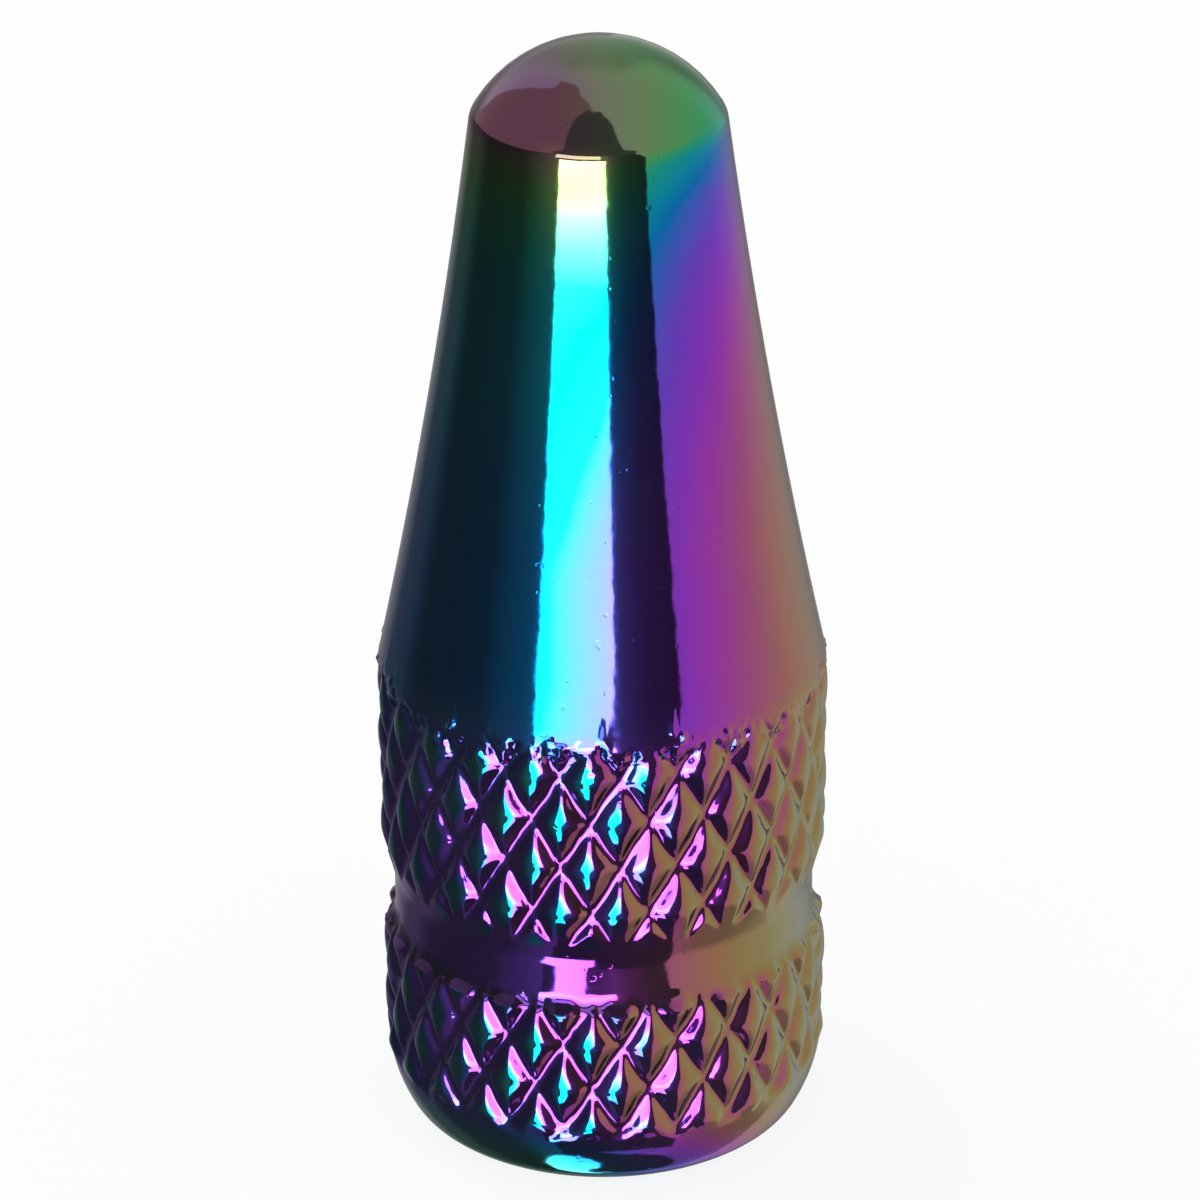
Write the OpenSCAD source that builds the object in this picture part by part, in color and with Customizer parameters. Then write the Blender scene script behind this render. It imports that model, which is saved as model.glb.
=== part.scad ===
// Slim screw-on dust cap for a narrow bicycle tyre valve, turned from one bar of aluminium.
// The cap stands on its mouth: the axis is Z, the origin is the middle of the mouth face.

/* [Outside] */
// Height from the mouth face to the tip
cap_h = 20.3; // [19:0.1:26]
// Diameter over the crests of the knurl
crest_d = 8.1; // [7.9:0.1:9]
// How far the crests stand above the plain bar
crest_raise = 0.05; // [0.02:0.01:0.08]
// Height of the domed tip above its shoulder
dome_h = 1.3; // [0.8:0.05:1.8]
// Diameter of the shoulder under the domed tip
shoulder_d = 4.4; // [4:0.1:5.6]
// Radius that breaks the edge of the shoulder
shoulder_round = 0.2; // [0.05:0.05:0.4]
// Height above the mouth face where the long taper begins
taper_z = 8.9; // [8.2:0.1:11]
// How far the side of the taper bows inwards at its middle
taper_bow = 0.11; // [0.02:0.01:0.3]

/* [Ring groove] */
// Height of the lower wall of the groove
groove_z = 3.68; // [3.2:0.02:4.2]
// Width of the groove along the axis
groove_w = 1.3; // [0.8:0.05:1.6]
// How far the floor of the groove lies below the roots of the knurl
groove_under = 0.08; // [0.03:0.01:0.3]
// Radius of the fillets at the foot of the groove's two walls
groove_fillet = 0.06; // [0.02:0.01:0.2]

/* [Mouth edge] */
// Height of the rounded edge, up to where it meets the side of the bar
edge_h = 1.6; // [1.4:0.05:2.4]
// How far the rounded edge draws in from the plain bar to the mouth face
edge_draw = 0.85; // [0.7:0.01:0.95]
// Small radius where the rounded edge meets the mouth face
edge_foot_r = 0.6; // [0.3:0.01:0.65]
// Height of the smooth part of the edge, where the knurl starts
knurl_z = 1; // [0.85:0.05:1.35]

/* [Knurl] */
// Number of grooves in each of the two crossing directions
knurl_starts = 24; // [16:1:28]
// Height of one diamond along the axis
diamond_h = 1.76; // [1.4:0.02:2.2]
// Depth of the knurl from crest to root
knurl_depth = 0.17; // [0.1:0.01:0.24]
// Half width of the flat bottom of a groove, as a share of the pitch
root_flat = 0.08; // [0.04:0.01:0.14]
// Distance from the middle of a groove to where its flank eases over, as a share of the pitch
flank_end = 0.26; // [0.2:0.01:0.4]
// Share of the depth that the flank has climbed there
flank_rise = 0.64; // [0.5:0.01:0.85]
// Height of one crossing of the grooves, which sets where the pattern lies
crossing_z = 6.55; // [6:0.01:7.5]
// Angle of that crossing about the axis
crossing_angle = 259.1; // [0:0.1:360]
// How much the crests of the upper band are turned down where it meets the ring groove
upper_taper = 0.18; // [0.02:0.01:0.22]
// Height over which the upper band is turned down
upper_taper_h = 0.65; // [0.2:0.05:1]
// How much the crests of the lower band are turned down where it meets the ring groove
lower_taper = 0.05; // [0.01:0.01:0.12]
// Height over which the lower band is turned down
lower_taper_h = 0.25; // [0.1:0.05:0.6]

/* [Bore] */
// Diameter of the drilled hole, which is also the inside diameter of the thread
bore_d = 4.3; // [4:0.05:4.6]
// Depth of the full diameter of the hole
bore_depth = 14; // [10:0.1:15]
// Angle of the drill's point
drill_angle = 118; // [90:1:140]
// Diameter of the countersink at the mouth, wider than the thread
mouth_d = 5.5; // [5.3:0.05:5.7]

/* [Hidden] */

// Sides that a true circle is drawn with
fine = 96;
// Straight runs that each arc of the turned outline is divided into
arc_parts = 8;
// Small overlap that lets a cut pass through the face it starts from
cut_past = 0.5;
// Columns of the knurl's skin in the width of a diamond, and rows in its height
steps = 6;
// Step by which the knurl's plain ends stay inside the plain bar
seat_step = 0.01;
// Least height of a row of the knurl's skin, as a share of a full row
least_row = 0.6;

crest_r = crest_d / 2;
root_r = crest_r - knurl_depth;
blank_r = crest_r - crest_raise;
shoulder_r = shoulder_d / 2;
shoulder_z = cap_h - dome_h;
groove_r = root_r - groove_under;
groove_top = groove_z + groove_w;
// The fillets stay below the roots of the knurl
fillet_r = min(groove_fillet, groove_under - seat_step, groove_w / 2);
bore_r = bore_d / 2;
mouth_r = mouth_d / 2;

columns = knurl_starts * steps;
row_h = diamond_h / steps;
diamond_angle = 360 / knurl_starts;

// Sphere of the domed tip
dome_r = (shoulder_r * shoulder_r + dome_h * dome_h) / (2 * dome_h);
dome_centre = [0, cap_h - dome_r];

// The bowed side of the taper is an arc whose centre lies far outside
side_run = shoulder_z - taper_z;
side_draw = blank_r - shoulder_r;
side_chord = norm([side_run, side_draw]);
side_r = (side_chord * side_chord / 4 + taper_bow * taper_bow) / (2 * taper_bow);
side_lean = atan2(side_draw, side_run);
side_centre = [blank_r + shoulder_r, taper_z + shoulder_z] / 2
    + (side_r - taper_bow) * [cos(side_lean), sin(side_lean)];

// The arc that breaks the shoulder touches the dome from inside and the bowed side from outside
inner_r = dome_r - shoulder_round;
outer_r = side_r + shoulder_round;
centre_gap = norm(side_centre - dome_centre);
gap_dir = (side_centre - dome_centre) / centre_gap;
along = (inner_r * inner_r - outer_r * outer_r + centre_gap * centre_gap) / (2 * centre_gap);
across = sqrt(inner_r * inner_r - along * along);
round_centre = dome_centre + along * gap_dir + across * [-gap_dir[1], gap_dir[0]];

// The mouth edge is a large arc that runs on smoothly into a small one
foot_centre = [blank_r - edge_draw, edge_foot_r];
edge_rise = edge_h - edge_foot_r;
edge_r = (edge_draw * edge_draw + edge_rise * edge_rise - edge_foot_r * edge_foot_r)
    / (2 * (edge_draw - edge_foot_r));
edge_centre = [blank_r - edge_r, edge_h];

// Radius of the plain bar and its rounded edge at a height
function plain_r(z) = edge_centre[0] + sqrt(edge_r * edge_r - pow(max(edge_h - z, 0), 2));

// Angle at which one point is seen from another
function bearing(from, to) = atan2(to[1] - from[1], to[0] - from[0]);

// Points along an arc
function arc(centre, r, start, end) = [
    for (k = [0:arc_parts]) let (a = start + (end - start) * k / arc_parts)
        centre + r * [cos(a), sin(a)]
];

// Half outline of the turned body, from the middle of the mouth round to the tip
function body_outline() = let (
    edge_turn = bearing(edge_centre, foot_centre),
    side_start = bearing(side_centre, [blank_r, taper_z]),
    side_end = bearing(side_centre, round_centre),
    round_start = bearing(round_centre, side_centre),
    round_end = bearing(dome_centre, round_centre)
) concat(
    [[0, 0]],
    arc(foot_centre, edge_foot_r, -90, edge_turn),
    arc(edge_centre, edge_r, edge_turn, -asin((edge_h - knurl_z) / edge_r)),
    [[groove_r, knurl_z]],
    [[groove_r, groove_z]],
    arc([groove_r + fillet_r, groove_z + fillet_r], fillet_r, 270, 180),
    arc([groove_r + fillet_r, groove_top - fillet_r], fillet_r, 180, 90),
    [[groove_r, groove_top]],
    [[groove_r, taper_z]],
    arc(side_centre, side_r, side_start + 360, side_end < 0 ? side_end + 360 : side_end),
    arc(round_centre, shoulder_round, round_start, round_end),
    arc(dome_centre, dome_r, round_end, 90)
);

// Distance of a helical coordinate from the nearest groove, as a share of the pitch
function groove_dist(t) = abs(t - round(t));

// Moves a point of the even grid so that whole columns follow the foot and the end of a flank
function gather(t) = round(t) + sign(t - round(t))
    * lookup(groove_dist(t), [[0, 0], [1 / 6, root_flat], [1 / 3, flank_end], [1 / 2, 1 / 2]]);

// Share of the depth that the metal rises at a distance from a groove, from 0 at the root to 1
function crest_share(d) = lookup(d, [[0, 0], [root_flat, 0], [flank_end, flank_rise], [1 / 2, 1]]);

// Heights of the rows of skin: the two ends, and the rows of the pattern in between
function band_rows(low, high) = let (
    first = ceil((low - crossing_z) / row_h + least_row),
    last = floor((high - crossing_z) / row_h - least_row)
) [low, for (j = [first:1:last]) crossing_z + j * row_h, high];

// One point of the knurl's skin
function skin_point(column, z, is_end, is_plain, edge_z, taper, taper_h) = let (
    a = column / steps,
    b = (z - crossing_z) / diamond_h,
    u = is_end ? a + b : gather(a + b),
    v = is_end ? a - b : gather(a - b),
    angle = crossing_angle + (u + v) / 2 * diamond_angle,
    height = crossing_z + (u - v) / 2 * diamond_h,
    cut_r = root_r + knurl_depth * crest_share(groove_dist(u)) * crest_share(groove_dist(v)),
    from_edge = min(abs(height - edge_z) / taper_h, 1),
    turned_r = plain_r(height) + crest_raise - taper * (1 - from_edge),
    r = is_plain ? plain_r(z) - seat_step : min(cut_r, turned_r)
) [r * cos(angle), r * sin(angle), is_end ? z : height];

// True where the edge across a quad climbs with the column, along the nearer of the two grooves
function climbs(column, row) =
    groove_dist((column - row) / steps) < groove_dist((column + row + 1) / steps);

// Knurled band that runs out to the plain bar at plain_z and is turned down at edge_z
module knurled_band(plain_z, edge_z, taper, taper_h) {
    rows = band_rows(min(plain_z, edge_z), max(plain_z, edge_z));
    last = len(rows) - 1;
    points = concat(
        [
            for (j = [0:last], i = [0:columns - 1])
                skin_point(
                    i, rows[j], j == 0 || j == last, rows[j] == plain_z, edge_z, taper, taper_h
                )
        ],
        [[0, 0, rows[0]], [0, 0, rows[last]]]
    );
    bottom_centre = len(points) - 2;
    top_centre = len(points) - 1;
    skin = [
        for (j = [0:last - 1], i = [0:columns - 1]) let (
            next = (i + 1) % columns,
            row = floor(((rows[j] + rows[j + 1]) / 2 - crossing_z) / row_h),
            a = j * columns + i,
            b = j * columns + next,
            c = a + columns,
            d = b + columns
        ) each climbs(i, row) ? [[a, d, b], [a, c, d]] : [[a, c, b], [b, c, d]]
    ];
    ends = [
        for (i = [0:columns - 1]) let (
            next = (i + 1) % columns,
            top = last * columns
        ) each [[bottom_centre, i, next], [top_centre, top + next, top + i]]
    ];
    polyhedron(points, concat(skin, ends), convexity = 6);
}

// Drilled hole with its point, and the countersink at the mouth
module bore() {
    point_h = bore_r / tan(drill_angle / 2);
    sink_h = mouth_r - bore_r;
    translate([0, 0, -cut_past]) cylinder(r = bore_r, h = bore_depth + cut_past, $fn = fine);
    translate([0, 0, bore_depth]) cylinder(r1 = bore_r, r2 = 0, h = point_h, $fn = fine);
    translate([0, 0, -cut_past])
        cylinder(r1 = mouth_r + cut_past, r2 = bore_r, h = sink_h + cut_past, $fn = fine);
}

// The whole cap in one piece
module valve_cap() {
    color("mediumpurple") difference() {
        union() {
            rotate_extrude($fn = fine) polygon(body_outline());
            knurled_band(knurl_z, groove_z, lower_taper, lower_taper_h);
            knurled_band(taper_z, groove_top, upper_taper, upper_taper_h);
        }
        bore();
    }
}

valve_cap();
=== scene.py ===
import math

import bpy
import numpy as np
from mathutils import Matrix, Vector


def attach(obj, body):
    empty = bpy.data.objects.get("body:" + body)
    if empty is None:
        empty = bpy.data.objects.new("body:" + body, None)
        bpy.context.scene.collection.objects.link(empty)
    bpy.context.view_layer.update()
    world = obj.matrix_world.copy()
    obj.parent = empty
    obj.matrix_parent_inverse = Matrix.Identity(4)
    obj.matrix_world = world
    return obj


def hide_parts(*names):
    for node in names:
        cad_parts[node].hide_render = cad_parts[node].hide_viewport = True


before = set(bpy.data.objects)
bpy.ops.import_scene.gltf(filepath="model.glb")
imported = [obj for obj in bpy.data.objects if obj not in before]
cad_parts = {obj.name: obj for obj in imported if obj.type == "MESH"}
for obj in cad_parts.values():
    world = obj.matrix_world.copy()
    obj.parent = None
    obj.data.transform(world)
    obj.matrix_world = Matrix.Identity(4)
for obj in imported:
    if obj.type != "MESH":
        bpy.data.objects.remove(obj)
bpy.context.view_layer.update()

# Lengths below are in millimetres unless a comment says metres; this turns them into metres
MM = 0.001

# Turned outline of the cap
CAP_H = 20.3
CREST_R = 4.04
BLANK_R = 3.99
DOME_H = 1.3
SHOULDER_R = 2.2
SHOULDER_ROUND = 0.5
TAPER_Z = 8.9
TAPER_BOW = 0.11

# Ring groove
GROOVE_Z = 3.68
GROOVE_TOP = 4.98
GROOVE_R = 3.79
# Height of the cove that runs down from its floor to the lower band, and how far it turns
COVE_H = 0.36
COVE_TURN = 52
# Height of the hollow sweep with which the groove's floor runs up to the upper band
GROOVE_SWEEP_H = 0.45

# Rounded edge at the mouth
EDGE_H = 1.6
EDGE_DRAW = 0.85
EDGE_FOOT_R = 0.6

# Knurl
STARTS = 24
DIAMOND_H = 1.76
KNURL_DEPTH = 0.17
KNURL_Z = 1.0
KNURL_TOP = 9.15
CROSSING_Z = 6.55
CROSSING_ANGLE = 259.1
# Half width of the bottom of a groove as a share of the pitch, and its height as a share of the
# depth, for the grooves that climb to the left and for the wider ones that climb to the right
ROOT_FLAT = (0.04, 0.065)
ROOT_SHARE = (0.10, 0.0)
# How much the flanks bulge, and how far, as a share of the pitch, their ends are blurred
FLANK_BULGE = 2.0
FLANK_BLUR = 0.045
# How far, as a share of the depth, the edges between the flanks of a diamond are rounded
EDGE_SOFTNESS = 0.36
# How much the crests are turned down at the ring groove, and over what height
UPPER_TAPER = 0.18
UPPER_TAPER_H = 0.65
LOWER_TAPER = 0.05
LOWER_TAPER_H = 0.25

# Unevenness of the knurl: how far its grooves wander as a share of the pitch, and how much the
# height and the tilt of a diamond, the depth of a groove and the grain vary as shares of the depth
WANDER = 0.03
UNEVEN_HEIGHT = 0.05
UNEVEN_TILT = 0.16
UNEVEN_GROOVE = 0.03
UNEVEN_GRAIN = 0.018
# Cells of noise to one pitch of the knurl, and cells to a millimetre of height for the burrs
WANDER_CELLS = 4
GRAIN_CELLS = 8
RAGGED_CELLS = 4
BURR_CELLS = 10
BURR_ROWS = 9

# How the bands run out on the plain bar, at the mouth and at the top: the mean reach of the ragged
# edge, and the height over which the pattern comes in
RAGGED_REACH = (0.12, 0.22)
RUN_IN_H = (0.3, 0.42)
# At the top, how much the pattern is torn there, and the height of the burrs, the noise above
# which they stand up, and the place and width of their row
TEAR = 0.7
BURR_H = 0.07
BURR_FROM = 0.15
BURR_PLACE = 0.08
BURR_WIDTH = 0.17

# Bore and thread
BORE_R = 2.15
BORE_DEPTH = 14.0
DRILL_ANGLE = 118
MOUTH_R = 2.75
THREAD_PITCH = 25.4 / 24
THREAD_DEPTH = 0.52
THREAD_END = 8.2
# Half width of the flats at the crest and at the root, as a share of the pitch
THREAD_FLAT = 0.06

# Mesh: points to one pitch of the knurl, both ways, points round the bore, and rings to one turn
# of the thread
STEPS = 24
BORE_COLUMNS = 96
RINGS_PER_TURN = 9
# Rings from the mouth to the foot of the countersink
SINK_RINGS = 6
# Height past the thread's end that its rings still cover, and where the plain bore then starts
THREAD_MARGIN = 0.05
THREAD_TAIL = 0.2
# Least distance of a knurled band's end from the plain rings, and from its own rows, where it is
# in rows
RING_GAP = 0.02
ROW_GAP = 0.4
# Edges that turn by more than this angle are sharp
SHARP_ANGLE = 50

# Name of the mesh attribute that holds the share of the knurl's depth at each point
CREST_SHARE = "crest_share"

COLUMNS = STARTS * STEPS
ROW_H = DIAMOND_H / STEPS
ROOT_R = CREST_R - KNURL_DEPTH
SHOULDER_Z = CAP_H - DOME_H


def arc(centre, radius, start, end, parts):
    """Points (r, z) along an arc, angles in degrees."""
    angles = np.radians(np.linspace(start, end, parts + 1))
    return np.column_stack([centre[0] + radius * np.cos(angles), centre[1] + radius * np.sin(angles)])


def bearing(start, end):
    """Angle in degrees at which one point is seen from another."""
    return math.degrees(math.atan2(end[1] - start[1], end[0] - start[0]))


def mouth_edge():
    """The large arc above the small one at the foot, from the mouth face up."""
    foot = np.array([BLANK_R - EDGE_DRAW, EDGE_FOOT_R])
    rise = EDGE_H - EDGE_FOOT_R
    radius = (EDGE_DRAW**2 + rise**2 - EDGE_FOOT_R**2) / (2 * (EDGE_DRAW - EDGE_FOOT_R))
    centre = np.array([BLANK_R - radius, EDGE_H])
    turn = bearing(centre, foot)
    lower = arc(foot, EDGE_FOOT_R, -90, turn, parts=8)
    upper = arc(centre, radius, turn, 0, parts=10)
    return np.vstack([lower, upper[1:]])


def taper_and_dome():
    """The bowed side, the small round at the shoulder and the domed tip, from the knurl up."""
    dome_r = (SHOULDER_R**2 + DOME_H**2) / (2 * DOME_H)
    dome_centre = np.array([0, CAP_H - dome_r])
    run, draw = SHOULDER_Z - TAPER_Z, BLANK_R - SHOULDER_R
    side_r = ((run**2 + draw**2) / 4 + TAPER_BOW**2) / (2 * TAPER_BOW)
    lean = math.atan2(draw, run)
    middle = np.array([BLANK_R + SHOULDER_R, TAPER_Z + SHOULDER_Z]) / 2
    side_centre = middle + (side_r - TAPER_BOW) * np.array([math.cos(lean), math.sin(lean)])

    # The small round touches both arcs, so its centre lies at a known distance from each centre
    inner, outer = dome_r - SHOULDER_ROUND, side_r + SHOULDER_ROUND
    gap = np.linalg.norm(side_centre - dome_centre)
    across = (side_centre - dome_centre) / gap
    along = (inner**2 - outer**2 + gap**2) / (2 * gap)
    up = math.sqrt(inner**2 - along**2)
    round_centre = dome_centre + along * across + up * np.array([-across[1], across[0]])
    round_end = bearing(dome_centre, round_centre)

    side_start = bearing(side_centre, [BLANK_R, TAPER_Z]) % 360
    side_end = bearing(side_centre, round_centre) % 360
    side = arc(side_centre, side_r, side_start, side_end, parts=14)
    round_start = bearing(round_centre, side_centre)
    shoulder = arc(round_centre, SHOULDER_ROUND, round_start, round_end, parts=6)
    dome = arc(dome_centre, dome_r, round_end, 90, parts=10)
    return np.vstack([side, shoulder[1:], dome[1:]])


def groove_cove(band_end, parts=6):
    """Rings (radius, z) of the hollow cove between the lower band's end and the groove's floor."""
    turn = math.radians(COVE_TURN)
    rings = []
    for k in range(1, parts + 1):
        down = 1 - k / parts
        rise = (1 - math.sqrt(1 - (down * math.sin(turn)) ** 2)) / (1 - math.cos(turn))
        rings.append((GROOVE_R + (band_end - GROOVE_R) * rise, GROOVE_Z + COVE_H * (1 - down)))
    return rings


def groove_sweep():
    """The hollow sweep from the groove's floor up to the upper band."""
    rise = ROOT_R - GROOVE_R
    sweep_r = (GROOVE_SWEEP_H**2 + rise**2) / (2 * rise)
    angle = math.degrees(math.asin(GROOVE_SWEEP_H / sweep_r))
    centre = [GROOVE_R + sweep_r, GROOVE_TOP - GROOVE_SWEEP_H]
    return arc(centre, sweep_r, 180, 180 - angle, parts=6)


def plain_radius(z):
    """Radius that the bar has at a height without the knurl."""
    outline = np.vstack([mouth_edge(), taper_and_dome()])
    return float(np.interp(z, outline[:, 1], outline[:, 0]))


def flank_share(t, flat, root):
    """Share of the depth at a helical coordinate t, rounded a little at the root and the crest."""
    total = 0
    blur = np.linspace(-FLANK_BLUR, FLANK_BLUR, num=9)
    for place in (t + b for b in blur):
        up = np.clip((np.abs(place - np.round(place)) - flat) / (0.5 - flat), 0, 1)
        total = total + 1 - (1 - up) ** FLANK_BULGE
    return root + (1 - root) * total / len(blur)


def soft_min(a, b, softness):
    """The lower of two heights, with the ridge between them rounded."""
    meeting = np.maximum(softness - np.abs(a - b), 0)
    return np.minimum(a, b) - meeting**2 / (4 * softness)


def value_noise(rng, rows, columns):
    """A table of random values from -1 to 1 that is read with wrapped_noise."""
    return rng.uniform(-1, 1, (rows, columns))


def wrapped_noise(table, row, column):
    """Smooth noise read from a table at fractional places; both directions wrap."""
    rows, columns = table.shape
    r0, c0 = np.floor(row).astype(int), np.floor(column).astype(int)
    fr, fc = row - r0, column - c0
    fr, fc = fr * fr * (3 - 2 * fr), fc * fc * (3 - 2 * fc)
    r1, c1 = (r0 + 1) % rows, (c0 + 1) % columns
    r0, c0 = r0 % rows, c0 % columns
    low = table[r0, c0] * (1 - fc) + table[r0, c1] * fc
    high = table[r1, c0] * (1 - fc) + table[r1, c1] * fc
    return low * (1 - fr) + high * fr


def smooth(x):
    """Eases from 0 to 1 as x goes from 0 to 1."""
    x = np.clip(x, 0, 1)
    return x * x * (3 - 2 * x)


class Knurl:
    """The diamond pattern, with the small unevenness and the torn edges that cutting leaves."""

    def __init__(self, seed=7):
        rng = np.random.RandomState(seed)
        self.cell_height = value_noise(rng, STARTS, STARTS)
        self.cell_tilt = [value_noise(rng, STARTS, STARTS) for _ in range(2)]
        self.groove_depth = value_noise(rng, 2, STARTS)
        self.wander = [value_noise(rng, rows=64, columns=STARTS * WANDER_CELLS) for _ in range(2)]
        self.grain = value_noise(rng, rows=96, columns=STARTS * GRAIN_CELLS)
        self.ragged = value_noise(rng, rows=4, columns=STARTS * RAGGED_CELLS)
        self.burrs = value_noise(rng, rows=96, columns=STARTS * BURR_CELLS)

    def share(self, a, b):
        """Share of the depth, from 0 at the roots to 1 at the crests, at a pitches round the bar
        and b diamonds up it."""
        rows, columns = b * WANDER_CELLS, a * WANDER_CELLS
        u = a + b + WANDER * wrapped_noise(self.wander[0], rows, columns)
        v = a - b + WANDER * wrapped_noise(self.wander[1], rows, columns)
        flanks = [flank_share(t, flat, root) for t, flat, root in zip((u, v), ROOT_FLAT, ROOT_SHARE)]
        share = soft_min(*flanks, EDGE_SOFTNESS)
        cell = np.floor(u).astype(int) % STARTS, np.floor(v).astype(int) % STARTS
        tilt_u, tilt_v = (table[cell] for table in self.cell_tilt)
        tilt = tilt_u * (u - np.floor(u) - 0.5) + tilt_v * (v - np.floor(v) - 0.5)
        near_u = self.groove_depth[0, np.round(u).astype(int) % STARTS]
        near_v = self.groove_depth[1, np.round(v).astype(int) % STARTS]
        share = share * (1 + UNEVEN_HEIGHT * self.cell_height[cell] + UNEVEN_TILT * tilt)
        share = share - UNEVEN_GROOVE * (1 - share) * (near_u + near_v)
        return share + UNEVEN_GRAIN * wrapped_noise(self.grain, b * GRAIN_CELLS, a * GRAIN_CELLS)

    def ring(self, columns, z, plain_z, groove_end):
        """Radius, and share of the depth, at each column of the row at height z. The band runs out
        on the plain bar at plain_z. Its other end, at the ring groove, is given by its height, by
        how much the crests are turned down there and by the height over which they are."""
        edge_z, taper, taper_h = groove_end
        a = columns / STEPS
        share = self.share(a, (z - CROSSING_Z) / DIAMOND_H)
        plain = plain_radius(z)
        crest = plain + CREST_R - BLANK_R
        turned = crest - taper * (1 - min(abs(z - edge_z) / taper_h, 1))
        radius = np.minimum(ROOT_R + KNURL_DEPTH * share, turned)

        top = int(plain_z > edge_z)
        ragged = wrapped_noise(self.ragged, np.full_like(a, 0.5 + top), a * RAGGED_CELLS)
        depth = abs(plain_z - z) - RAGGED_REACH[top] * (1 + ragged)
        torn = wrapped_noise(self.burrs, z * BURR_ROWS, a * BURR_CELLS) * top
        inside = smooth(depth / RUN_IN_H[top] + TEAR * torn)
        burr_row = np.exp(-(((depth - BURR_PLACE) / BURR_WIDTH) ** 2))
        burr = BURR_H * np.maximum(torn - BURR_FROM, 0) * burr_row
        blended = plain + (radius - plain) * inside + burr
        return np.minimum(blended, crest), share * inside


def band_heights(low, high):
    """Heights of the rows of a knurled band: its two ends, and the rows of the pattern between."""
    first = math.ceil((low - CROSSING_Z) / ROW_H + ROW_GAP)
    last = math.floor((high - CROSSING_Z) / ROW_H - ROW_GAP)
    return [low, *(CROSSING_Z + j * ROW_H for j in range(first, last + 1)), high]


class Rings:
    """Rings of points from the mouth face up over the outside to the tip."""

    def __init__(self):
        self.columns = np.arange(COLUMNS)
        angles = np.radians(CROSSING_ANGLE + self.columns * 360 / COLUMNS)
        self.cos, self.sin = np.cos(angles), np.sin(angles)
        self.rings = []
        self.heights = []
        self.shares = []

    def add(self, radius, z, share=0.0):
        radius = np.broadcast_to(radius, (COLUMNS,))
        self.rings.append(np.column_stack([radius * self.cos, radius * self.sin, np.full(COLUMNS, z)]))
        self.heights.append(z)
        self.shares.append(np.broadcast_to(share, (COLUMNS,)))

    def outline(self, points, low=-math.inf, high=math.inf):
        """Plain rings at those points (r, z) that lie between two heights."""
        for r, z in points:
            if low < z < high:
                self.add(r, z)

    def band(self, knurl, plain_z, groove_end):
        """Rings of a knurled band, and the radii of the last of them."""
        low, high = sorted([plain_z, groove_end[0]])
        for z in band_heights(low, high):
            radius, share = knurl.ring(self.columns, z, plain_z, groove_end)
            self.add(radius, z, share)
        return radius


def follows_groove(column, z):
    """True where the diagonal of a quad that rises with the column lies along the nearer groove."""
    a, b = (column + 0.5) / STEPS, (z - CROSSING_Z) / DIAMOND_H
    u, v = a + b, a - b
    return np.abs(v - np.round(v)) < np.abs(u - np.round(u))


def grid_triangles(rows, columns, rising, start=0):
    """Two triangles for each quad of a grid that closes round; rising says which way each is split."""
    i = np.arange(columns)
    triangles = []
    for j in range(rows - 1):
        a = start + j * columns + i
        b = start + j * columns + (i + 1) % columns
        c, d = a + columns, b + columns
        up = rising(i, j)
        first = np.where(up[:, None], np.column_stack([a, b, d]), np.column_stack([a, b, c]))
        second = np.where(up[:, None], np.column_stack([a, d, c]), np.column_stack([b, d, c]))
        triangles += [first, second]
    return np.vstack(triangles)


def thread_radius(z, angle):
    """Radius of the tapped hole: a right-handed thread that runs out upwards."""
    turn = (z / THREAD_PITCH - angle / (2 * math.pi)) % 1
    ridge = np.interp(np.abs(turn - 0.5), [0, THREAD_FLAT, 0.5 - THREAD_FLAT, 0.5], [1, 1, 0, 0])
    fade = np.clip((THREAD_END - z) / THREAD_PITCH, 0, 1)
    return BORE_R + THREAD_DEPTH * ridge * fade


def bore_rings():
    """Rings of the bore from the countersink at the mouth up to the drill's point."""
    angles = np.radians(CROSSING_ANGLE + np.arange(BORE_COLUMNS) * 360 / BORE_COLUMNS)
    first = (MOUTH_R - BORE_R) / SINK_RINGS
    threaded = np.arange(first, THREAD_END + THREAD_MARGIN, THREAD_PITCH / RINGS_PER_TURN)
    rings = []
    for z in [0, *threaded, THREAD_END + THREAD_TAIL, BORE_DEPTH]:
        radius = np.maximum(thread_radius(z, angles), MOUTH_R - z)
        x, y = radius * np.cos(angles), radius * np.sin(angles)
        rings.append(np.column_stack([x, y, np.full(BORE_COLUMNS, z)]))
    return rings


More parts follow.
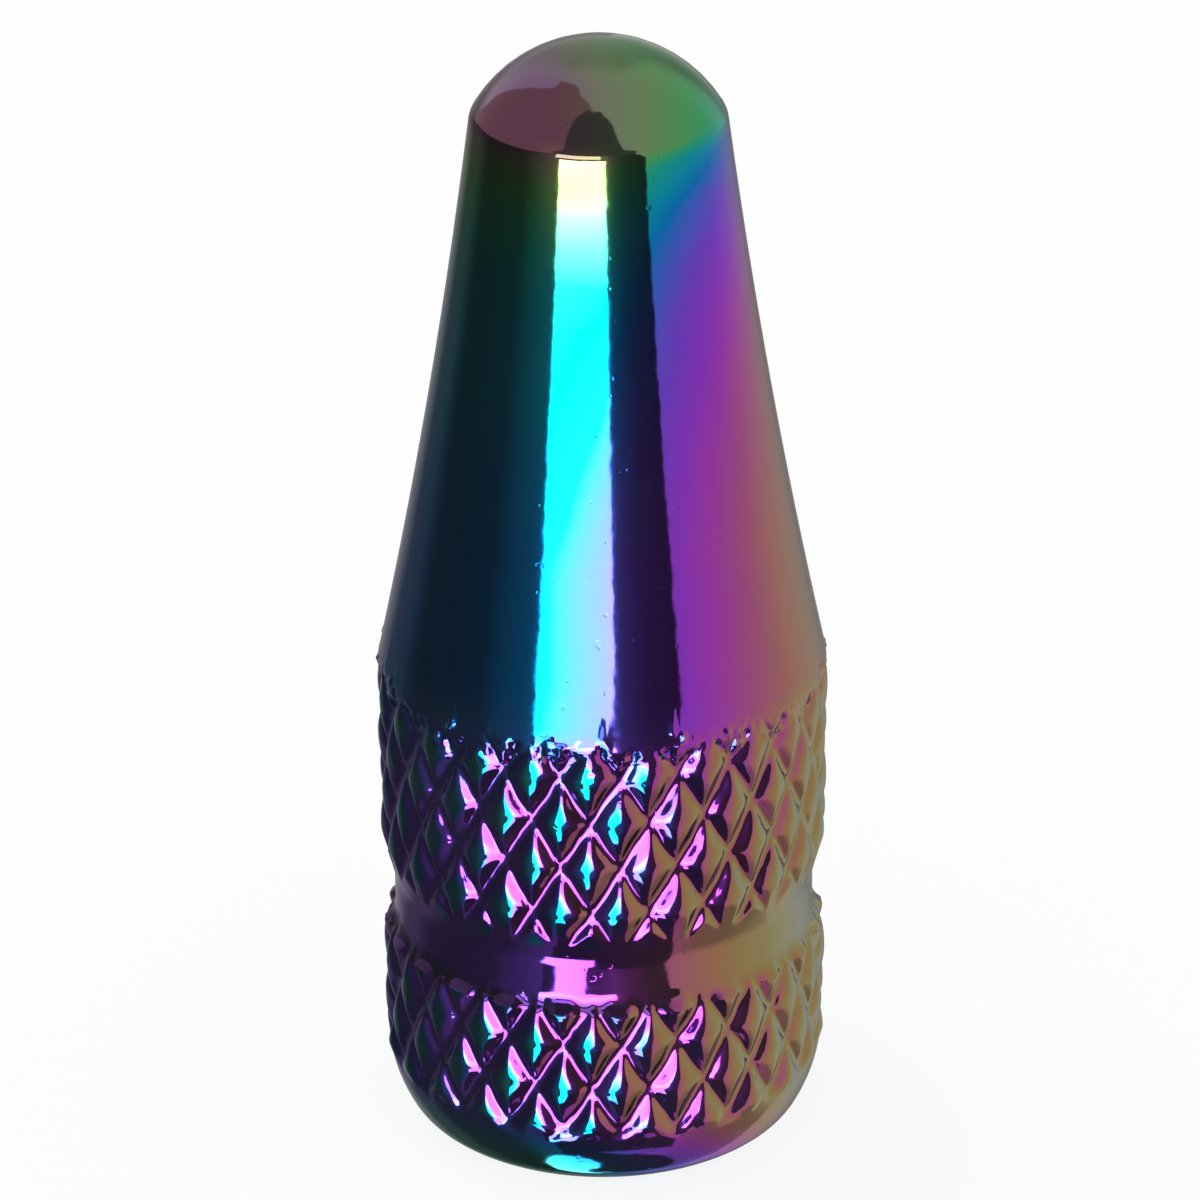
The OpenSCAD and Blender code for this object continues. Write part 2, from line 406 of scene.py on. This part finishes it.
def cap_mesh():
    """The whole cap as one closed skin of triangles."""
    rings = Rings()
    knurl = Knurl()
    rings.outline(mouth_edge(), high=KNURL_Z - RING_GAP)
    band_end = rings.band(knurl, KNURL_Z, (GROOVE_Z, LOWER_TAPER, LOWER_TAPER_H))
    rings.outline(groove_cove(band_end))
    rings.outline(groove_sweep()[:-1])
    rings.band(knurl, KNURL_TOP, (GROOVE_TOP, UPPER_TAPER, UPPER_TAPER_H))
    rings.outline(taper_and_dome()[:-1], low=KNURL_TOP + RING_GAP)

    outside = np.vstack(rings.rings)
    middles = (np.array(rings.heights[1:]) + np.array(rings.heights[:-1])) / 2
    faces = [grid_triangles(len(rings.rings), COLUMNS, lambda i, j: follows_groove(i, middles[j]))]
    tip = len(outside)
    last = tip - COLUMNS
    i = np.arange(COLUMNS)
    faces.append(np.column_stack([last + i, last + (i + 1) % COLUMNS, np.full(COLUMNS, tip)]))

    inside = bore_rings()
    start = tip + 1
    k = np.arange(BORE_COLUMNS)
    wall = grid_triangles(len(inside), BORE_COLUMNS, lambda i, j: np.zeros(len(i), bool), start)
    faces.append(wall[:, ::-1])
    point = start + len(inside) * BORE_COLUMNS
    last = point - BORE_COLUMNS
    faces.append(np.column_stack([last + (k + 1) % BORE_COLUMNS, last + k, np.full(BORE_COLUMNS, point)]))

    # The mouth face joins the outer columns to the fewer columns of the bore
    share = COLUMNS // BORE_COLUMNS
    inner = start + i // share
    faces.append(np.column_stack([(i + 1) % COLUMNS, i, inner]))
    outer = (k + 1) * share % COLUMNS
    faces.append(np.column_stack([start + (k + 1) % BORE_COLUMNS, outer, start + k]))

    apex = BORE_DEPTH + BORE_R / math.tan(math.radians(DRILL_ANGLE / 2))
    points = np.vstack([outside, [[0, 0, CAP_H]], *inside, [[0, 0, apex]]])
    shares = np.zeros(len(points))
    shares[:len(outside)] = np.concatenate(rings.shares)
    return points * MM, np.vstack(faces), shares


def make_cap():
    """The cap's finer skin, in place of its solid."""
    points, faces, shares = cap_mesh()
    mesh = bpy.data.meshes.new("cap_skin")
    mesh.from_pydata(points.tolist(), [], faces.tolist())
    mesh.attributes.new(CREST_SHARE, "FLOAT", "POINT").data.foreach_set("value", shares)
    mesh.validate()
    mesh.update()
    mesh.shade_smooth()
    mesh.set_sharp_from_angle(angle=math.radians(SHARP_ANGLE))
    cap = bpy.data.objects.new("cap_skin", mesh)
    bpy.context.scene.collection.objects.link(cap)
    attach(cap, "root")
    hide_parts("valve_cap")
    return cap


class Nodes:
    """Short forms for building a material's nodes."""

    def __init__(self, owner):
        owner.use_nodes = True
        self.tree = owner.node_tree
        self.tree.nodes.clear()

    def add(self, kind, **settings):
        node = self.tree.nodes.new("ShaderNode" + kind)
        for name, value in settings.items():
            setattr(node, name, value)
        return node

    def put(self, socket, value):
        if isinstance(value, bpy.types.NodeSocket):
            self.tree.links.new(value, socket)
        elif value is not None:
            socket.default_value = value

    def math(self, operation, a, b=None, c=None):
        node = self.add("Math", operation=operation)
        for socket, value in zip(node.inputs, (a, b, c)):
            self.put(socket, value)
        return node.outputs[0]

    def map_range(self, value, low, high, to_low=0.0, to_high=1.0, eased=False):
        node = self.add("MapRange", interpolation_type="SMOOTHSTEP" if eased else "LINEAR")
        for socket, item in zip(node.inputs, (value, low, high, to_low, to_high)):
            self.put(socket, item)
        return node.outputs[0]

    def noise(self, vector, scale, detail=2.0):
        node = self.add("TexNoise")
        self.put(node.inputs["Vector"], vector)
        node.inputs["Scale"].default_value = scale
        node.inputs["Detail"].default_value = detail
        return node.outputs["Fac"]

    def ramp(self, value, stops):
        node = self.add("ValToRGB")
        elements = node.color_ramp.elements
        while len(elements) < len(stops):
            elements.new(0.5)
        for element, (place, colour) in zip(elements, stops):
            element.position = place
            element.color = (*colour, 1)
        self.put(node.inputs[0], value)
        return node.outputs["Color"]

    def curve(self, value, points):
        node = self.add("FloatCurve")
        curve = node.mapping.curves[0]
        while len(curve.points) < len(points):
            curve.points.new(0.5, 0.5)
        for point, (x, y) in zip(curve.points, points):
            point.location = (x, y)
            point.handle_type = "VECTOR"
        node.mapping.update()
        self.put(node.inputs["Value"], value)
        return node.outputs[0]

    def mix_colour(self, share, first, second):
        node = self.add("MixRGB")
        self.put(node.inputs["Fac"], share)
        self.put(node.inputs["Color1"], first)
        self.put(node.inputs["Color2"], second)
        return node.outputs["Color"]

    def mix_shader(self, share, first, second):
        node = self.add("MixShader")
        for socket, value in zip(node.inputs, (share, first, second)):
            self.put(socket, value)
        return node.outputs[0]

    def finish(self, surface, kind="OutputMaterial"):
        self.put(self.add(kind).inputs["Surface"], surface)


# Colours of the coating in the order in which they follow each other, with the place of each on
# the scale of the coat
COAT_COLOURS = [
    (-0.60, (0.17, 0.08, 0.19)),
    (-0.45, (0.16, 0.085, 0.16)),
    (-0.30, (0.15, 0.15, 0.11)),
    (-0.15, (0.12, 0.20, 0.09)),
    (-0.05, (0.07, 0.24, 0.08)),
    (0.03, (0.035, 0.26, 0.10)),
    (0.12, (0.007, 0.25, 0.18)),
    (0.25, (0.0, 0.20, 0.30)),
    (0.34, (0.001, 0.12, 0.37)),
    (0.42, (0.045, 0.08, 0.43)),
    (0.52, (0.12, 0.04, 0.43)),
    (0.62, (0.20, 0.028, 0.41)),
    (0.70, (0.27, 0.032, 0.32)),
    (0.78, (0.29, 0.055, 0.18)),
    (0.86, (0.28, 0.10, 0.09)),
    (0.95, (0.25, 0.145, 0.055)),
    (1.05, (0.22, 0.185, 0.07)),
    (1.15, (0.18, 0.205, 0.13)),
]
COAT_LOW, COAT_HIGH = -0.65, 1.2

# Place on that scale at each height above the mouth face, where the surface faces forwards
COAT_BY_HEIGHT = [
    (0.0, 0.22),
    (0.5, 0.28),
    (0.9, 0.42),
    (1.2, 0.55),
    (1.6, 0.62),
    (3.6, 0.65),
    (4.9, 0.65),
    (7.0, 0.64),
    (8.6, 0.55),
    (9.2, 0.44),
    (12.0, 0.42),
    (14.0, 0.36),
    (16.0, 0.28),
    (17.0, 0.19),
    (18.0, 0.06),
    (18.8, -0.14),
    (19.05, -0.33),
    (19.9, -0.31),
    (20.1, -0.25),
    (20.3, -0.14),
]
# How far the place moves at each height as the surface turns to the right, and to the left
COAT_TO_RIGHT = [(0.0, 0.85), (0.8, 0.8), (1.4, 0.52), (20.3, 0.52)]
COAT_TO_LEFT = [
    (0.0, -0.12),
    (8.6, -0.14),
    (9.3, -0.11),
    (15.0, -0.08),
    (17.0, -0.03),
    (18.5, -0.02),
    (19.05, -0.14),
    (20.3, -0.14),
]
# The turn to a side is the part of the normal that points there. The turn to the left over which
# that move is made
LEFT_TURN = 0.3
# How far the place moves back on the crests of the knurl, the share of depth where that starts,
# and the turn to the right over which it is lost
COAT_ON_CREST = -0.30
CREST_FROM = 0.45
CREST_TURN = 0.35
# How far the place moves each way in the clouds
COAT_IN_CLOUD = 0.02

# How much of a painted highlight, a pale yellow tint where the bright strip is mirrored, the coat gets at
# each height, on the front
PAINTED_HIGHLIGHT = [
    (0.0, 0),
    (16.8, 0),
    (17.4, 0.024),
    (17.9, 0.055),
    (18.1, 0.08),
    (18.4, 0.105),
    (19.0, 0.10),
    (19.2, 0),
    (20.3, 0),
]
PAINTED_HIGHLIGHT_COLOUR = (1, 0.8, 0.12, 1)
# Turns between which that painted highlight fades out on the right, and comes in on the left
PAINTED_HIGHLIGHT_RIGHT = (0.12, 0.04)
PAINTED_HIGHLIGHT_LEFT = (-0.45, -0.3)

# How much the metal is darkened in the corner between the ring groove and the lower band, a painted shade
# in that recess
PAINTED_SHADE = [(0.0, 0), (3.60, 0), (3.68, 0.75), (3.84, 0.75), (3.98, 0), (20.3, 0)]
PAINTED_SHADE_COLOUR = (0.02, 0.018, 0.015, 1)
# Turns to the right between which that painted shade fades out
PAINTED_SHADE_TURN = (0.05, 0.35)

# Share of dull dust in the look of the metal at each height, a value above all of them, and how
# much it varies in the clouds
DUST = [(0.0, 0.013), (9.0, 0.010), (9.6, 0.006), (20.3, 0.004)]
DUST_LIMIT = 0.1
DUST_SPREAD = (0.6, 1.4)
DUST_COLOUR = (0.8, 0.8, 0.8, 1)

# Roughness of the polished metal from one grain to the next
ROUGHNESS = (0.05, 0.09)

# Scales of the noise on the metal, in cells to a metre
CLOUD_SCALE = 260.0
WAVE_SCALE = 900.0
BLOTCH_SCALE = 2500.0
RIPPLE_SCALE = 3600.0
PIT_SCALE = 5200.0
GRAIN_SCALE = 9000.0
# Range in which nearly all of a noise lies, and the values at which a pit and a blotch start and
# are full
NOISE_RANGE = (0.3, 0.7)
PIT_RANGE = (0.70, 0.76)
BLOTCH_RANGE = (0.35, 0.55)
# Painted shade between the blotches, as a share of that in them
BETWEEN_BLOTCHES = 0.6

# Shares of the height of the fine relief, and that height
WAVE_SHARE = 0.6
GRAIN_SHARE = 0.03
RIPPLE_SHARE = 0.35
PIT_SHARE = 0.25
RELIEF_H = 0.01
RELIEF_STRENGTH = 0.5


def height_reader(n, place):
    """A function that reads off a list of (height, value), where the values lie between two limits."""
    height = n.add("SeparateXYZ")
    n.put(height.inputs[0], place)
    up = n.map_range(height.outputs["Z"], 0.0, CAP_H * MM)

    def at_height(keys, low=0.0, high=1.0):
        curve = n.curve(up, [(z / CAP_H, (value - low) / (high - low)) for z, value in keys])
        return n.math("MULTIPLY_ADD", curve, high - low, low)

    return at_height


def coat_colour(n, at_height, turn, clouds):
    """Colour of the coat from the height, the turn to a side, the crests of the knurl and clouds."""
    by_height = at_height(COAT_BY_HEIGHT, COAT_LOW, COAT_HIGH)
    right = n.map_range(turn, 0.0, 1.0)
    left = n.map_range(turn, 0.0, -LEFT_TURN)
    to_right = n.math("MULTIPLY", right, at_height(COAT_TO_RIGHT))
    by_side = n.math("MULTIPLY_ADD", left, at_height(COAT_TO_LEFT, -0.5, 0.5), to_right)
    crest = n.add("Attribute", attribute_name=CREST_SHARE).outputs["Fac"]
    by_crest = n.map_range(crest, CREST_FROM, 1.0, 0.0, COAT_ON_CREST, eased=True)
    by_crest = n.math("MULTIPLY", by_crest, n.map_range(turn, 0.0, CREST_TURN, 1.0, 0.0))
    by_cloud = n.map_range(clouds, *NOISE_RANGE, -COAT_IN_CLOUD, COAT_IN_CLOUD)
    coat = n.math("ADD", n.math("ADD", by_height, by_side), n.math("ADD", by_cloud, by_crest))
    coat = n.map_range(coat, COAT_LOW, COAT_HIGH)
    span = COAT_HIGH - COAT_LOW
    return n.ramp(coat, [((t - COAT_LOW) / span, colour) for t, colour in COAT_COLOURS])


def with_painted_highlight_and_shade(n, colour, at_height, turn, place):
    """That colour, with a painted highlight that makes it paler on the front below the tip, and a painted
    shade that darkens the corner under the ring groove.
    """
    # Painted highlight: a pale yellow tint mixed into the coat on the front, where the bright strip is
    # mirrored
    front = n.math("MULTIPLY", n.map_range(turn, *PAINTED_HIGHLIGHT_RIGHT), n.map_range(turn, *PAINTED_HIGHLIGHT_LEFT))
    colour = n.mix_colour(n.math("MULTIPLY", at_height(PAINTED_HIGHLIGHT), front), colour, PAINTED_HIGHLIGHT_COLOUR)
    # Painted shade: the corner under the ring groove is darkened in blotches, on the front and the left
    # only
    blotches = n.map_range(n.noise(place, BLOTCH_SCALE), *BLOTCH_RANGE, BETWEEN_BLOTCHES, 1.0)
    painted_shade = n.math("MULTIPLY", at_height(PAINTED_SHADE), blotches)
    painted_shade = n.math("MULTIPLY", painted_shade, n.map_range(turn, *PAINTED_SHADE_TURN, 1.0, 0.0))
    return n.mix_colour(painted_shade, colour, PAINTED_SHADE_COLOUR)


def fine_relief(n, place, grain):
    """Normal of the metal with the waves, ripples, grain and pits that are too fine for the mesh."""
    waves = n.noise(place, WAVE_SCALE)
    ripples = n.noise(place, RIPPLE_SCALE, detail=1.0)
    pits = n.noise(place, PIT_SCALE, detail=1.0)
    pit_depth = n.map_range(pits, *PIT_RANGE, 0.0, -1.0, eased=True)
    relief = n.math("MULTIPLY", waves, WAVE_SHARE)
    relief = n.math("ADD", relief, n.math("MULTIPLY", grain, GRAIN_SHARE))
    relief = n.math("ADD", relief, n.math("MULTIPLY", ripples, RIPPLE_SHARE))
    relief = n.math("ADD", relief, n.math("MULTIPLY", pit_depth, PIT_SHARE))
    bump = n.add("Bump")
    bump.inputs["Strength"].default_value = RELIEF_STRENGTH
    bump.inputs["Distance"].default_value = RELIEF_H * MM
    n.put(bump.inputs["Height"], relief)
    return bump.outputs["Normal"]


def rainbow_metal():
    """Mirror-bright metal under a thin coat whose colour turns with height and with the side."""
    material = bpy.data.materials.new("rainbow_metal")
    n = Nodes(material)
    place = n.add("TexCoord").outputs["Object"]
    facing = n.add("SeparateXYZ")
    n.put(facing.inputs[0], n.add("NewGeometry").outputs["Normal"])
    turn = facing.outputs["X"]
    at_height = height_reader(n, place)
    clouds = n.noise(place, CLOUD_SCALE, detail=3.0)
    grain = n.noise(place, GRAIN_SCALE)
    colour = coat_colour(n, at_height, turn, clouds)

    metal = n.add("BsdfPrincipled")
    n.put(metal.inputs["Base Color"], with_painted_highlight_and_shade(n, colour, at_height, turn, place))
    metal.inputs["Metallic"].default_value = 1.0
    n.put(metal.inputs["Roughness"], n.map_range(grain, *NOISE_RANGE, *ROUGHNESS))
    n.put(metal.inputs["Normal"], fine_relief(n, place, grain))
    dust = n.add("BsdfDiffuse")
    dust.inputs["Color"].default_value = DUST_COLOUR
    spread = n.map_range(clouds, *NOISE_RANGE, *DUST_SPREAD)
    dust_share = n.math("MULTIPLY", at_height(DUST, 0.0, DUST_LIMIT), spread)
    n.finish(n.mix_shader(dust_share, metal.outputs[0], dust.outputs[0]))
    return material


def only_in_reflections(thing):
    """Leaves a card to be seen in the metal, where it lights nothing and casts no shadow."""
    thing.visible_camera = False
    thing.visible_diffuse = False
    thing.visible_transmission = False
    thing.visible_volume_scatter = False
    thing.visible_shadow = False


# Cards lie on a sphere of this radius about the cap, and a higher layer this much nearer, in metres
CARD_R = 0.4
LAYER_GAP = 0.001
# Parts of a card across, and the largest step from row to row in degrees
CARD_PARTS = 48
CARD_STEP = 3
# Name of the mesh attribute that holds a card's strength at each point
CARD_SHADE = "shade"
# Elevation at which the cards end below, just short of straight down
LOWEST = -88


def card_light(name, tint):
    """Light of a card, whose strength at each point is a mesh attribute."""
    material = bpy.data.materials.new(name)
    n = Nodes(material)
    light = n.add("Emission")
    light.inputs["Color"].default_value = (*tint, 1)
    n.put(light.inputs["Strength"], n.add("Attribute", attribute_name=CARD_SHADE).outputs["Fac"])
    n.finish(light.outputs[0])
    return material


def finer(rows):
    """Adds rows in between, so that no step of a card is too large."""
    finer_rows = [rows[0]]
    for before, after in zip(rows[:-1], rows[1:]):
        steps = max(1, math.ceil(np.abs(after - before)[:, :2].max() / CARD_STEP))
        finer_rows += [before + (after - before) * k / steps for k in range(1, steps + 1)]
    return finer_rows


def shade_at(shade, az):
    """Strength at an azimuth, from a number or from a list of (azimuth, strength)."""
    return shade if isinstance(shade, (int, float)) else np.interp(az, *zip(*shade))


def studio_card(name, rows, shade=1, tint=(1, 1, 1), layer=0):
    """A curved studio card seen in the metal only. Each row gives the card's two ends as (azimuth,
    elevation) in degrees, where azimuth 0 is towards the camera and 90 is to its right. The shade
    is a number or a list of (azimuth, strength), and a row may name its own as a third value. A
    higher layer lies in front."""
    grid = []
    for start, end, *own in rows:
        places = np.linspace(start, end, CARD_PARTS + 1)
        shades = [shade_at(own[0] if own else shade, az) for az in places[:, 0]]
        grid.append(np.column_stack([places, shades]))
    grid = np.array(finer(grid))
    az, el = np.radians(grid[..., 0]), np.radians(grid[..., 1])
    right, ahead = np.sin(az) * np.cos(el), np.cos(az) * np.cos(el)
    radius = CARD_R - LAYER_GAP * layer
    points = radius * np.stack([right, -ahead, np.sin(el)], axis=-1).reshape(-1, 3)
    row = CARD_PARTS + 1
    faces = []
    for j in range(len(grid) - 1):
        for k in range(j * row, j * row + CARD_PARTS):
            faces.append((k, k + 1, k + row + 1, k + row))
    mesh = bpy.data.meshes.new(name)
    mesh.from_pydata(points.tolist(), [], faces)
    mesh.attributes.new(CARD_SHADE, "FLOAT", "POINT").data.foreach_set("value", grid[..., 2].ravel())
    mesh.materials.append(card_light(name, tint))
    card = bpy.data.objects.new(name, mesh)
    bpy.context.scene.collection.objects.link(card)
    only_in_reflections(card)


def level(*bands):
    """Rows of a card from (elevation, west azimuth, east azimuth), each with its shade if it has one."""
    return [((west, el), (east, el), *own) for el, west, east, *own in bands]


def upright(*bands):
    """Rows of a card from (azimuth, low elevation, high elevation)."""
    return [((az, low), (az, high)) for az, low, high in bands]


def make_west_walls():
    """The dim wall on the left, and the paler one behind it that the cap's left limb mirrors."""
    tops = [
        (-182, -4), (-150, -4), (-140, 6), (-125, 10), (-110, 16), (-97, 20), (-65, 30), (-34, 34),
    ]
    wall = [
        (-182, 0.36), (-168, 0.30), (-157, 0.28), (-149, 0.24), (-145, 0.13), (-138, 0.11),
        (-132, 0.15), (-118, 0.15), (-113, 0.055), (-78, 0.052), (-66, 0.075), (-56, 0.10),
        (-48, 0.15), (-34, 0.36),
    ]
    rows = upright(*((az, LOWEST, top) for az, top in tops))
    studio_card("west_wall", rows, shade=wall, tint=(1.0, 0.90, 0.90))

    limb = [(-182, 0.34), (-150, 0.26), (-141, 0.26), (-135, 1)]
    low = [(-182, 0.64), (-165, 0.53), (-157, 0.64), (-150, 0.82), (-143, 1), (-135, 1)]
    high = [(-182, 0.73), (-165, 0.72), (-157, 0.8), (-150, 0.95), (-143, 1), (-135, 1)]
    shades = [(-4, limb), (3, limb), (12, low), (20, low), (42, high), (54, high), (70, 1)]
    studio_card("back_west", level(*((el, -182, -135, shade) for el, shade in shades)))


def make_east_walls():
    """The walls behind the cap on the right, which its right limb mirrors."""
    low = [(132, 1), (140, 0.88), (145, 0.72), (150, 0.45), (157, 0.42), (164, 0.5), (178, 0.64)]
    high = [(132, 1), (145, 1), (152, 0.9), (157, 0.72), (164, 0.66), (178, 0.73)]
    shades = [(-4, low), (20, low), (42, high), (54, high), (70, 1)]
    studio_card("back_east", level(*((el, 132, 178, shade) for el, shade in shades)))
    wall = [(115, 1.0), (132, 0.8), (148, 0.5), (158, 0.3), (168, 0.27), (180, 0.36)]
    rows = level(*((el, 115, 180) for el in (LOWEST, -60, -30, -4)))
    studio_card("east_wall", rows, shade=wall)


def make_flags():
    """The dark flags in front of the cap, and the table below and beside them."""
    west = -34
    narrow = level(
        (-31, west, 33), (-24, west, 36), (-20, west, 40), (8, west, 40),
        (18, west, 37), (25, west, 33), (34, west, 30),
    )
    narrow_shade = [
        (-40, 0.07), (-10, 0.12), (6, 0.4), (10, 0.25), (16, 0.17), (24, 0.10), (32, 0.085),
        (38, 0.05), (42, 0.05),
    ]
    studio_card("narrow_flag", narrow, shade=narrow_shade)
    low = level(
        (LOWEST, west, 115), (-74, west, 100), (-71, west, 82), (-67, west, 52), (-64, west, 17),
        (-61.5, west, -6), (-59, west, 50), (-50, west, 45), (-31, west, 33),
    )
    studio_card("low_flag", low, shade=0.06)
    table = [(west, 0.72), (45, 0.72), (62, 0.52), (115, 0.46)]
    rows = level((LOWEST, west, 115, table), (-48, west, 115, table), (-36, west, 115))
    studio_card("table_card", rows, layer=-1)


def make_strips():
    """The tall bright strip in front on the left, and the dimmer one above it."""
    plain, bright = 9, 16
    strip = level(
        (-45, -36, -6, plain), (-34, -36, -6, plain), (-31, -27, -10, plain), (-25, -27, -10, plain),
        (-21, -34, 6, 10), (-12, -34, 6, bright), (-6, -34, 6, bright), (-3.5, -34, 6, plain),
        (6, -34, 6, plain),
    )
    studio_card("strip_card", strip, layer=1)
    studio_card("strip_top", level((12, -38, 2), (25, -38, 2)), shade=4.0, layer=1)


def make_overhead_cards():
    """What the domed tip mirrors: the dark shape of the camera, and a dim reddish patch."""
    arch = level(
        (24, -42, 33), (33, -42, 36), (36, -38, 36), (40, -37, 31), (44, -37, 26), (50, -38, 23),
        (64, -40, 22), (70, -38, 16), (75, -30, 4),
    )
    studio_card("camera_flag", arch, shade=0.17, layer=2)
    patch = level(
        (4, -144, -143), (6, -143.5, -137), (8, -142.5, -131), (9, -142, -124), (13, -140.5, -97),
        (18, -140.5, -65), (24, -138, -40), (34, -133, -20), (46, -127, -20), (55, -122.5, -20),
        (61.2, -120.5, -20), (62, -134.5, -20), (68, -133, -20), (73, -131, -20), (77, -118, -16),
        (80.5, -80, -34), (81.3, -70, -55),
    )
    studio_card("dim_patch", patch, shade=0.62, tint=(1.0, 0.69, 0.60), layer=1)


def make_rim_card():
    """The bright card below, for the glint on the rounded edge at the mouth."""
    rim = level(
        (LOWEST, -175, -110), (-85, -150, -60), (-80, -105, -12), (-75, -82, -6), (-69, -58, -16),
        (-66, -45, -30),
    )
    studio_card("rim_card", rim, shade=5.0, layer=1)


def seen_directly(n):
    """1 for rays from the camera, and for those that metal or glass sends on, and 0 for the rest."""
    rays = n.add("LightPath").outputs
    sent_on = n.math("MAXIMUM", rays["Is Glossy Ray"], rays["Is Transmission Ray"])
    return n.math("MAXIMUM", rays["Is Camera Ray"], sent_on)


# Floor: half its width in metres, its colour under the light, and the share of plain white in it
# where it is seen
FLOOR_HALF = 2.0
FLOOR_COLOUR = (0.92, 0.92, 0.92, 1)
FLOOR_WHITE = 0.88


def make_floor():
    """A plain pale floor that keeps the cap's shadow."""
    corners = [(-FLOOR_HALF, -FLOOR_HALF), (FLOOR_HALF, -FLOOR_HALF)]
    corners += [(FLOOR_HALF, FLOOR_HALF), (-FLOOR_HALF, FLOOR_HALF)]
    mesh = bpy.data.meshes.new("floor")
    mesh.from_pydata([(x, y, 0) for x, y in corners], [], [(0, 1, 2, 3)])
    floor = bpy.data.objects.new("floor", mesh)
    bpy.context.scene.collection.objects.link(floor)
    material = bpy.data.materials.new("pale_floor")
    n = Nodes(material)
    lit = n.add("BsdfDiffuse")
    lit.inputs["Color"].default_value = FLOOR_COLOUR
    white = n.add("Emission")
    white.inputs["Strength"].default_value = 1.0
    share = n.math("MULTIPLY", seen_directly(n), FLOOR_WHITE)
    n.finish(n.mix_shader(share, lit.outputs[0], white.outputs[0]))
    mesh.materials.append(material)
    # The cards that reach below the floor take its place in the metal
    floor.visible_glossy = False


# Strength of the sky as light on the cap; where the sky is seen, it is white
SKY_LIGHT = 0.8
# Soft lamp: width, place and aim in metres, and power in watts
LAMP_WIDTH = 0.12
LAMP_PLACE = (-0.10, 0.06, 0.22)
LAMP_AIM = (0, 0, 0.005)
LAMP_POWER = 0.12


def make_light():
    """A white sky, and a soft lamp for the shadow on the floor."""
    world = bpy.data.worlds.new("studio")
    bpy.context.scene.world = world
    n = Nodes(world)
    sky = n.add("Background")
    sky.inputs["Color"].default_value = (1, 1, 1, 1)
    n.put(sky.inputs["Strength"], n.map_range(seen_directly(n), 0.0, 1.0, SKY_LIGHT, 1.0))
    n.finish(sky.outputs[0], "OutputWorld")

    lamp = bpy.data.lights.new("soft_lamp", "AREA")
    lamp.shape = "DISK"
    lamp.size = LAMP_WIDTH
    lamp.energy = LAMP_POWER
    soft = bpy.data.objects.new("soft_lamp", lamp)
    soft.location = LAMP_PLACE
    soft.rotation_euler = (Vector(LAMP_AIM) - soft.location).to_track_quat("-Z", "Y").to_euler()
    soft.visible_glossy = False
    bpy.context.scene.collection.objects.link(soft)


# Camera, from a fit to the outline of the cap in the photograph: how far it stands back from the
# cap's axis and above its mouth, its angles in degrees, and its lens before a 36 mm sensor
CAMERA_BACK = 80.0
CAMERA_UP = 47.35
CAMERA_PITCH = 25.09
CAMERA_YAW = 0.023
CAMERA_ROLL = -0.40
CAMERA_LENS = 149.6
CAMERA_SENSOR = 36


def make_camera():
    """The camera in front of the cap, looking down at it."""
    data = bpy.data.cameras.new("camera")
    data.lens = CAMERA_LENS
    data.sensor_width = CAMERA_SENSOR
    data.clip_start = 0.001
    data.clip_end = 10
    camera = bpy.data.objects.new("camera", data)
    turn = (
        Matrix.Rotation(math.radians(CAMERA_YAW), 4, "Z")
        @ Matrix.Rotation(math.radians(90 - CAMERA_PITCH), 4, "X")
        @ Matrix.Rotation(math.radians(CAMERA_ROLL), 4, "Z")
    )
    camera.matrix_world = Matrix.Translation((0, -CAMERA_BACK * MM, CAMERA_UP * MM)) @ turn
    bpy.context.scene.collection.objects.link(camera)
    bpy.context.scene.camera = camera


make_camera()
cap = make_cap()
cap.data.materials.append(rainbow_metal())
make_floor()
make_west_walls()
make_east_walls()
make_flags()
make_strips()
make_overhead_cards()
make_rim_card()
make_light()
bpy.context.scene.view_settings.view_transform = "Standard"
